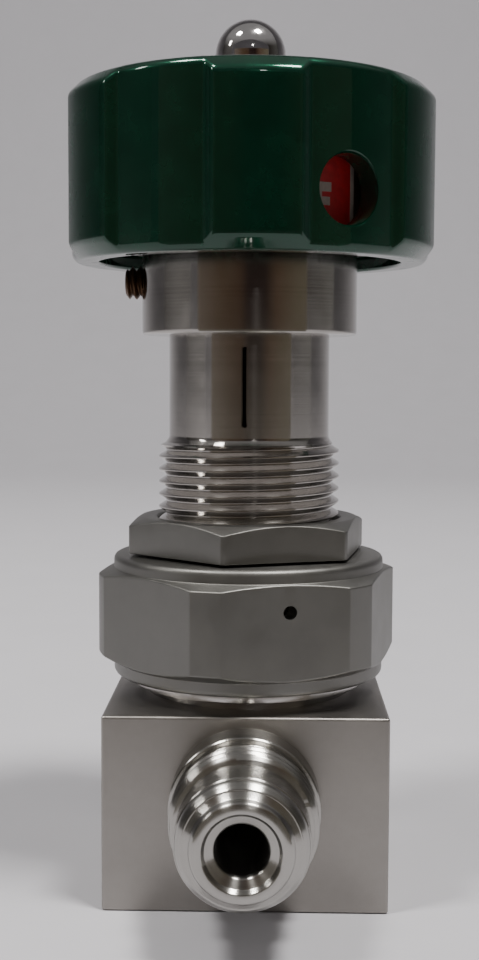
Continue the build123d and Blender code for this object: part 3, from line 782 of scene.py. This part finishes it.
def make_set_screw():
    """Headless screw with real threads and a hexagon socket."""
    screw = polar("set_screw_detail", screw_outline, SCREW_COLUMNS)
    bottom = SCREW_LENGTH - KEY_DEPTH
    top = SCREW_LENGTH + PAST
    combine(screw, [plain_bar("socket", KEY_R, bottom, top, KEY_SIDES)])
    carry(screw, along(SCREW_BEARING, SCREW_HEIGHT) @ Matrix.Translation((0, 0, SCREW_START * MM)))
    return stands_for(screw, "set_screw")


# ---------------------------------------------------------------- labels

DRUM_R = 14.6
LABEL_FACE = 14.72
PRINT_THICK = 0.03   # the print stands out from the label's face, and sinks in, by this much
PRINT_STEP = 1.5     # degrees
OPEN_LABEL_TURN = 270
EDGE_STRIP = (42.6, 44.5)
EDGE_STRIP_INSET = 0.02
# Bars of print: first and last bearing, lower and upper height above the label's bottom
BARS = (
    (27.0, 33.2, 4.0, 4.9), (27.0, 29.0, 3.5, 4.0), (27.0, 32.6, 2.7, 3.5),
    (2.0, 20.0, 4.2, 5.2), (2.0, 4.8, 2.6, 6.8), (17.2, 20.0, 2.6, 6.8),
)


def printed_patch(data, bearings, heights):
    """Adds one thin raised patch of print that follows the drum's round face."""
    steps = max(2, round((bearings[1] - bearings[0]) / PRINT_STEP))
    rims = []
    for step in range(steps + 1):
        angle = math.radians(bearings[0] + (bearings[1] - bearings[0]) * step / steps)
        ring = []
        for radius, height in (
            (LABEL_FACE - PRINT_THICK, heights[0]), (LABEL_FACE + PRINT_THICK, heights[0]),
            (LABEL_FACE + PRINT_THICK, heights[1]), (LABEL_FACE - PRINT_THICK, heights[1]),
        ):
            x = radius * math.sin(angle) * MM
            y = -radius * math.cos(angle) * MM
            ring.append(data.verts.new((x, y, height * MM)))
        rims.append(ring)
    for first, second in zip(rims, rims[1:]):
        for corner in range(4):
            after = (corner + 1) % 4
            data.faces.new((first[corner], second[corner], second[after], first[after]))
    data.faces.new(rims[0])
    data.faces.new(rims[-1])


def make_marks(node, turn):
    """Plain bars and a pale edge strip on a position label that is turned round the drum."""
    bottom = low(node)
    top = high(node)
    data = bmesh.new()
    for start, end, lower, upper in BARS:
        printed_patch(data, (start + turn, end + turn), (bottom + lower, bottom + upper))
    start, end = EDGE_STRIP
    printed_patch(data, (start + turn, end + turn), (bottom + EDGE_STRIP_INSET, top - EDGE_STRIP_INSET))
    marks = make_object(node + "_marks", data)
    marks.data.materials.append(FINISH["white_print"])
    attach(marks, BODY_OF[node])
    return marks


# ---------------------------------------------------------------- knob

KNOB_BOTTOM = low("knob")
CROWN_DROP = 0.4     # the knob in the photograph is this much lower than the CAD knob
KNOB_TOP = high("knob") - CROWN_DROP
PAD_R = 19.6
WAIST_R = 18.75
RIM_R = 18.2
PAD_BEARING = 3.0
PAD_SPACING = 60.0
PAD_HALF = 11.6
PAD_SLOPE = 4.4
CAVITY_R = 15.9
CEILING = 79.2
RECESS_R = 8.6
RECESS_FLOOR = 80.6
BOSS_R = 7.02
WINDOW_R = 3.35
WINDOW_HEIGHT = 71.04
WINDOW_BEARING = 31.5
WINDOW_BEVEL = 0.12
WINDOW_START = DRUM_R - 2
WINDOW_COLUMNS = 144
WINDOW_SHARP = 38
KNOB_SHARP = 60
KNOB_STEPS = 5       # steps in each rounded corner of the knob's outline
FACE_ROWS = 14       # extra rows on the knob's tall side


def knob_side(bearing):
    """Outer radius of the knob: flat-topped pads that slope down to the waist."""
    off = abs((bearing - PAD_BEARING + PAD_SPACING / 2) % PAD_SPACING - PAD_SPACING / 2)
    t = min(max((off - PAD_HALF) / PAD_SLOPE, 0), 1)
    return PAD_R + (WAIST_R - PAD_R) * t * t * (3 - 2 * t)


def knob_outline(bearing):
    """Closed outline of the knob at one bearing, with extra rows on its tall side."""
    side = knob_side(bearing)
    chamfer = side - RIM_R
    lower = KNOB_BOTTOM + chamfer
    upper = KNOB_TOP - chamfer
    up_to_side = [
        (CAVITY_R, CEILING, 0.3),
        (CAVITY_R, KNOB_BOTTOM, 0.35),
        (RIM_R, KNOB_BOTTOM, 0.3),
        (side, lower, 0.45),
    ]
    from_side = [
        (side, upper, 0.5),
        (RIM_R, KNOB_TOP, 0.45),
        (RECESS_R, KNOB_TOP, 0.5),
        (RECESS_R, RECESS_FLOOR, 0.3),
        (BOSS_R, RECESS_FLOOR, 0.1),
        (BOSS_R, CEILING, 0),
    ]
    points = rounded(up_to_side + from_side, KNOB_STEPS)
    split = len(up_to_side) * (KNOB_STEPS + 1)
    below = points[split - 1]
    above = points[split]
    wall = [below.lerp(above, (row + 1) / (FACE_ROWS + 1)) for row in range(FACE_ROWS)]
    return points[:split] + wall + points[split:]


def make_knob():
    """Enamelled knob with six pads, rounded chamfers and its bevelled window."""
    knob = polar("knob_detail", knob_outline, FINE_COLUMNS, KNOB_SHARP)
    face = knob_side(WINDOW_BEARING)
    window = lathe("window", [
        (0, WINDOW_START, 0),
        (WINDOW_R, WINDOW_START, 0),
        (WINDOW_R, face - 2.2 * WINDOW_BEVEL, 0.25),
        (WINDOW_R + 3 * WINDOW_BEVEL, face + WINDOW_BEVEL, 0),
        (0, face + WINDOW_BEVEL, 0),
    ], WINDOW_COLUMNS)
    carry(window, along(WINDOW_BEARING, WINDOW_HEIGHT))
    combine(knob, [window], sharp=WINDOW_SHARP)
    return stands_for(knob, "knob")


STUD_HOLE_R = 2.55


def make_washer():
    """Plain washer under the acorn nut."""
    bottom = low("knob_washer")
    top = high("knob_washer")
    outer = high("knob_washer", 0)
    washer = lathe("knob_washer_detail", [
        (STUD_HOLE_R, bottom, 0.1),
        (outer, bottom, 0.12),
        (outer, top, 0.25),
        (STUD_HOLE_R, top, 0.1),
    ])
    return stands_for(washer, "knob_washer")


ACORN_APOTHEM = 4.0
ACORN_DOME_R = 3.7
ACORN_DOME_HEIGHT = 86.8
ACORN_HEX = 3.4      # height of the hexagon part
ACORN_CORNER_R = ACORN_APOTHEM + 0.5
ACORN_FLAT_BEARING = 30
ACORN_CHAMFER = 0.6
ACORN_BORE_TOP = 88.0
ACORN_BORE_CONE = 0.6
DOME_STEPS = 24


def acorn_outline(bearing):
    """Closed outline of the domed nut at one bearing."""
    base = low("acorn_nut")
    side = min(hex_radius(ACORN_APOTHEM, bearing, ACORN_FLAT_BEARING), ACORN_CORNER_R)
    shoulder = base + ACORN_HEX
    drop = ACORN_CHAMFER * (side - ACORN_APOTHEM)
    lower = rounded([
        (0, ACORN_BORE_TOP, 0),
        (STUD_HOLE_R, ACORN_BORE_TOP - ACORN_BORE_CONE, 0.1),
        (STUD_HOLE_R, base, 0.1),
        (ACORN_APOTHEM - 0.1, base, 0.1),
        (side, base + drop + 0.1, 0.1),
        (side, shoulder - drop - 0.1, 0.1),
        (ACORN_APOTHEM - 0.1, shoulder, 0.1),
        (ACORN_DOME_R, shoulder, 0.1),
    ])
    dome = []
    for step in range(DOME_STEPS + 1):
        angle = math.radians(90 * step / DOME_STEPS)
        height = ACORN_DOME_HEIGHT + ACORN_DOME_R * math.sin(angle)
        dome.append(Vector((ACORN_DOME_R * math.cos(angle), height)))
    return lower + dome


# ---------------------------------------------------------------- building

make_body()
make_fitting("inlet_fitting", 0)
make_fitting("outlet_fitting", 180)
make_bonnet()
make_bonnet_nut()
stands_for(polar("panel_nut_detail", panel_nut_outline, FINE_COLUMNS), "panel_nut")
make_collar()
make_set_screw()
make_marks("closed_label", 0)
make_marks("open_label", OPEN_LABEL_TURN)
make_knob()
make_washer()
make_bellows()
stands_for(polar("acorn_nut_detail", acorn_outline, THREAD_COLUMNS), "acorn_nut", "dome_steel")

# CAD nodes that nothing replaces keep their shape and get a finish
for node, shown in frame["nodes"].items():
    if shown.hide_render:
        continue
    shown.data.materials.clear()
    shown.data.materials.append(FINISH[SLOT_OF[node]])


# ---------------------------------------------------------------- stage, lights and camera
# Everything from here on is in metres, apart from the camera's place.

FLOOR_HALF_WIDTH = 5.0
BACKDROP_HEIGHT = 2.4
SWEEP_START = 0.55
SWEEP_RADIUS = 0.45
SWEEP_STEPS = 16


def make_floor():
    """A pale floor that sweeps up behind the valve and, farther off, in front of it."""
    data = bmesh.new()
    section = [(-2.6, BACKDROP_HEIGHT), (-2.6, 0.5), (-2.4, 0.1), (-2.0, 0.0), (SWEEP_START, 0.0)]
    for step in range(1, SWEEP_STEPS + 1):
        angle = math.radians(90 * step / SWEEP_STEPS)
        y = SWEEP_START + SWEEP_RADIUS * math.sin(angle)
        section.append((y, SWEEP_RADIUS * (1 - math.cos(angle))))
    section.append((SWEEP_START + SWEEP_RADIUS, BACKDROP_HEIGHT))
    left = [data.verts.new((-FLOOR_HALF_WIDTH, y, z)) for y, z in section]
    right = [data.verts.new((FLOOR_HALF_WIDTH, y, z)) for y, z in section]
    for index in range(len(section) - 1):
        data.faces.new((left[index], right[index], right[index + 1], left[index + 1]))
    floor = make_object("floor", data)
    material, shader = new_material("floor_paper", 0.0)
    fibre = noise(material, object_place(material), 60.0, 6.0)
    vary(material, shader, fibre, (0.52, 0.512, 0.535), 0.97, 0.7, 0.05)
    floor.data.materials.append(material)


SCREEN_RADIUS = 0.1
SCREEN_BOTTOM = 0.0005
SCREEN_HEIGHT = 0.11
SCREEN_START = -52
SCREEN_END = 60
SCREEN_STEPS = 40


def make_screen():
    """A low glowing screen round the front, seen only in reflections: painted reflections of the dim brown
    room before the valve, darkest in the middle and paler at its ends and low down.
    """
    data = bmesh.new()
    columns = []
    for step in range(SCREEN_STEPS + 1):
        azimuth = math.radians(SCREEN_START + (SCREEN_END - SCREEN_START) * step / SCREEN_STEPS)
        x = SCREEN_RADIUS * math.sin(azimuth)
        y = -SCREEN_RADIUS * math.cos(azimuth)
        columns.append([data.verts.new((x, y, SCREEN_BOTTOM)), data.verts.new((x, y, SCREEN_HEIGHT))])
    for first, second in zip(columns, columns[1:]):
        data.faces.new((first[0], second[0], second[1], first[1]))
    flag = make_object("painted_reflection_screen", data)
    material, shader = new_material("painted_reflection_room", 0.0)
    shader.inputs["Base Color"].default_value = (0.01, 0.008, 0.006, 1)
    shader.inputs["Roughness"].default_value = 1.0
    split = material.node_tree.nodes.new("ShaderNodeSeparateXYZ")
    link(material, object_place(material), split.inputs[0])
    share_of_width = calculate(material, "DIVIDE", split.outputs["X"], 2 * SCREEN_RADIUS)
    across = calculate(material, "ADD", share_of_width, 0.5)
    # painted reflection: these colours glow from the screen and show only in reflections on the metal, dark
    # brown in the middle and paler to the sides and at the bottom
    upper = ramp(material, across, [
        (0.08, (0.17, 0.14, 0.115)),
        (0.26, (0.10, 0.066, 0.04)),
        (0.42, (0.075, 0.042, 0.024)),
        (0.50, (0.018, 0.008, 0.007)),
        (0.64, (0.018, 0.008, 0.006)),
        (0.74, (0.095, 0.055, 0.030)),
        (0.90, (0.14, 0.12, 0.08)),
    ])
    lower = ramp(material, across, [
        (0.08, (0.26, 0.24, 0.21)),
        (0.40, (0.12, 0.105, 0.085)),
        (0.60, (0.13, 0.118, 0.10)),
        (0.90, (0.22, 0.20, 0.17)),
    ])
    height = calculate(material, "MULTIPLY", split.outputs["Z"], 1 / SCREEN_HEIGHT)
    share = ramp(material, height, [(0.36, 0.0), (0.56, 1.0)])
    link(material, mix_colors(material, share, lower, upper), shader.inputs["Emission Color"])
    shader.inputs["Emission Strength"].default_value = 1.0
    flag.data.materials.append(material)
    flag.visible_camera = False
    flag.visible_diffuse = False
    flag.visible_shadow = False


LAMP_COLOR = (1.0, 0.98, 0.96)
LAMP_AIM = Vector((0, 0, 0.045))


def make_lamp(name, azimuth, elevation, distance, size, power):
    """A soft lamp aimed at the valve. Azimuth runs from -Y towards +X, in degrees."""
    lamp = bpy.data.lights.new(name, "AREA")
    lamp.shape = "RECTANGLE"
    lamp.size, lamp.size_y = size
    lamp.energy = power
    lamp.color = LAMP_COLOR
    holder = bpy.data.objects.new(name, lamp)
    bpy.context.scene.collection.objects.link(holder)
    flat = math.cos(math.radians(elevation))
    direction = Vector((
        math.sin(math.radians(azimuth)) * flat,
        -math.cos(math.radians(azimuth)) * flat,
        math.sin(math.radians(elevation)),
    ))
    holder.location = LAMP_AIM + direction * distance
    holder.rotation_euler = direction.to_track_quat("Z", "Y").to_euler()


ROOM_STRENGTH = 0.5
ABOVE_COLOR = (0.62, 0.61, 0.61, 1)


def make_room():
    """Room light: dim wood tones behind the camera, grey walls at the sides, one bright narrow
    gap at the left, and a pale ceiling."""
    world = bpy.data.worlds.new("room")
    bpy.context.scene.world = world
    world.use_nodes = True
    nodes = world.node_tree.nodes
    background = nodes["Background"]
    split = nodes.new("ShaderNodeSeparateXYZ")
    link(world, nodes.new("ShaderNodeTexCoord").outputs["Generated"], split.inputs[0])
    forward = calculate(world, "MULTIPLY", split.outputs["Y"], -1.0)
    turn = calculate(world, "ARCTAN2", split.outputs["X"], forward)
    # 0.5 is straight in front of the valve, 0.75 at its right and 0.25 at its left
    around = calculate(world, "ADD", calculate(world, "DIVIDE", turn, TAU), 0.5)
    walls = ramp(world, around, [
        (0.0, (0.50, 0.49, 0.51)),
        (0.157, (0.40, 0.39, 0.40)),
        (0.163, (5.0, 5.0, 5.0)),
        (0.167, (5.0, 5.0, 5.0)),
        (0.173, (0.26, 0.25, 0.245)),
        (0.21, (0.14, 0.13, 0.12)),
        (0.27, (0.46, 0.44, 0.42)),
        (0.34, (0.38, 0.355, 0.33)),
        (0.38, (0.10, 0.085, 0.075)),
        (0.62, (0.10, 0.085, 0.075)),
        (0.68, (0.16, 0.14, 0.12)),
        (0.76, (0.42, 0.41, 0.38)),
        (0.89, (0.40, 0.39, 0.37)),
        (0.91, (0.10, 0.09, 0.08)),
        (0.94, (0.50, 0.49, 0.50)),
    ])
    # The walls are brightest low down; the ceiling takes over high up
    fade = ramp(world, split.outputs["Z"], [(0.06, 1.0), (0.16, 0.42), (0.40, 0.42)])
    dimmed = mix_colors(world, 1.0, walls, fade, "MULTIPLY")
    rise = ramp(world, split.outputs["Z"], [(0.40, 0.0), (0.70, 1.0)])
    link(world, mix_colors(world, rise, dimmed, ABOVE_COLOR), background.inputs["Color"])
    background.inputs["Strength"].default_value = ROOM_STRENGTH


CAMERA_PLACE = Vector((2.41, -148.07, 53.96))  # millimetres
CAMERA_YAW = -1.318
CAMERA_PITCH = 4.56
CAMERA_ROLL = 0.236
CAMERA_LENS = 51.76
SENSOR_WIDTH = 36
NEAR_CLIP = 0.005
FAR_CLIP = 20


def make_camera():
    """Camera in front of the valve, looking slightly down."""
    camera = bpy.data.cameras.new("camera")
    camera.lens = CAMERA_LENS
    camera.sensor_width = SENSOR_WIDTH
    camera.clip_start = NEAR_CLIP
    camera.clip_end = FAR_CLIP
    holder = bpy.data.objects.new("camera", camera)
    bpy.context.scene.collection.objects.link(holder)
    yaw = math.radians(CAMERA_YAW)
    pitch = math.radians(CAMERA_PITCH)
    roll = math.radians(CAMERA_ROLL)
    level = math.cos(pitch)
    ahead = Vector((math.sin(yaw) * level, math.cos(yaw) * level, -math.sin(pitch)))
    right = Vector((math.cos(yaw), -math.sin(yaw), 0))
    up = right.cross(ahead)
    rolled_right = math.cos(roll) * right + math.sin(roll) * up
    rolled_up = -math.sin(roll) * right + math.cos(roll) * up
    axes = Matrix((rolled_right, rolled_up, -ahead)).transposed()
    holder.matrix_world = Matrix.Translation(CAMERA_PLACE * MM) @ axes.to_4x4()
    bpy.context.scene.camera = holder


make_floor()
make_room()
make_screen()
make_lamp("lamp_left", -62.6, 61, 0.9, (0.16, 0.16), 5.5)
make_lamp("lamp_right", 54, 70, 0.9, (0.18, 0.18), 10.0)
make_lamp("lamp_low_left", -75.6, 31.7, 1.0, (0.08, 0.2), 1.5)
make_lamp("lamp_front", 8.4, 25.5, 1.4, (0.08, 0.06), 0.6)
make_camera()

bpy.context.view_layer.update()
